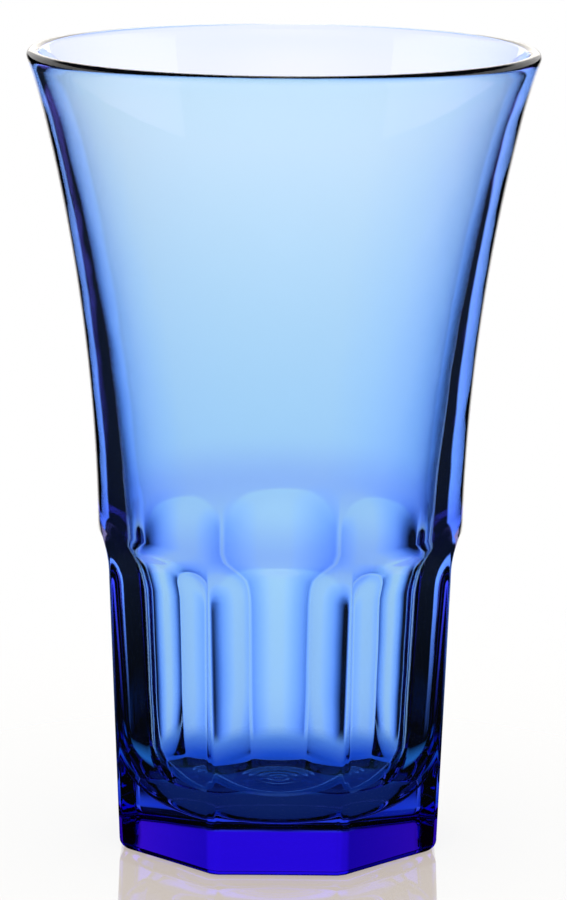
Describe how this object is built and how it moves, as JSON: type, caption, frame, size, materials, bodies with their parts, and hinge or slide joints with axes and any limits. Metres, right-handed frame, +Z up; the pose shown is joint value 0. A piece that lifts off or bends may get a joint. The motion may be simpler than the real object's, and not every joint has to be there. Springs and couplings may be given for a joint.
{
  "type": "glass tumbler",
  "caption": "Blue pressed-glass long-drink tumbler with a flared bowl, a barrel of flat arched panels and a heavy solid base.",
  "frame": {"origin": "centre of the flat foot, on the surface that the glass stands on", "axes": "+Z up along the axis of the glass, -Y towards the pictured side, on which one flat panel faces the viewer"},
  "size_m": [0.0888, 0.0888, 0.14],
  "materials": {
    "blue_glass": "clear, fire-polished"
  },
  "bodies": {
    "root": {"flared_bowl": "blue_glass", "panelled_barrel": "blue_glass", "heavy_base": "blue_glass"}
  },
  "joints": []
}
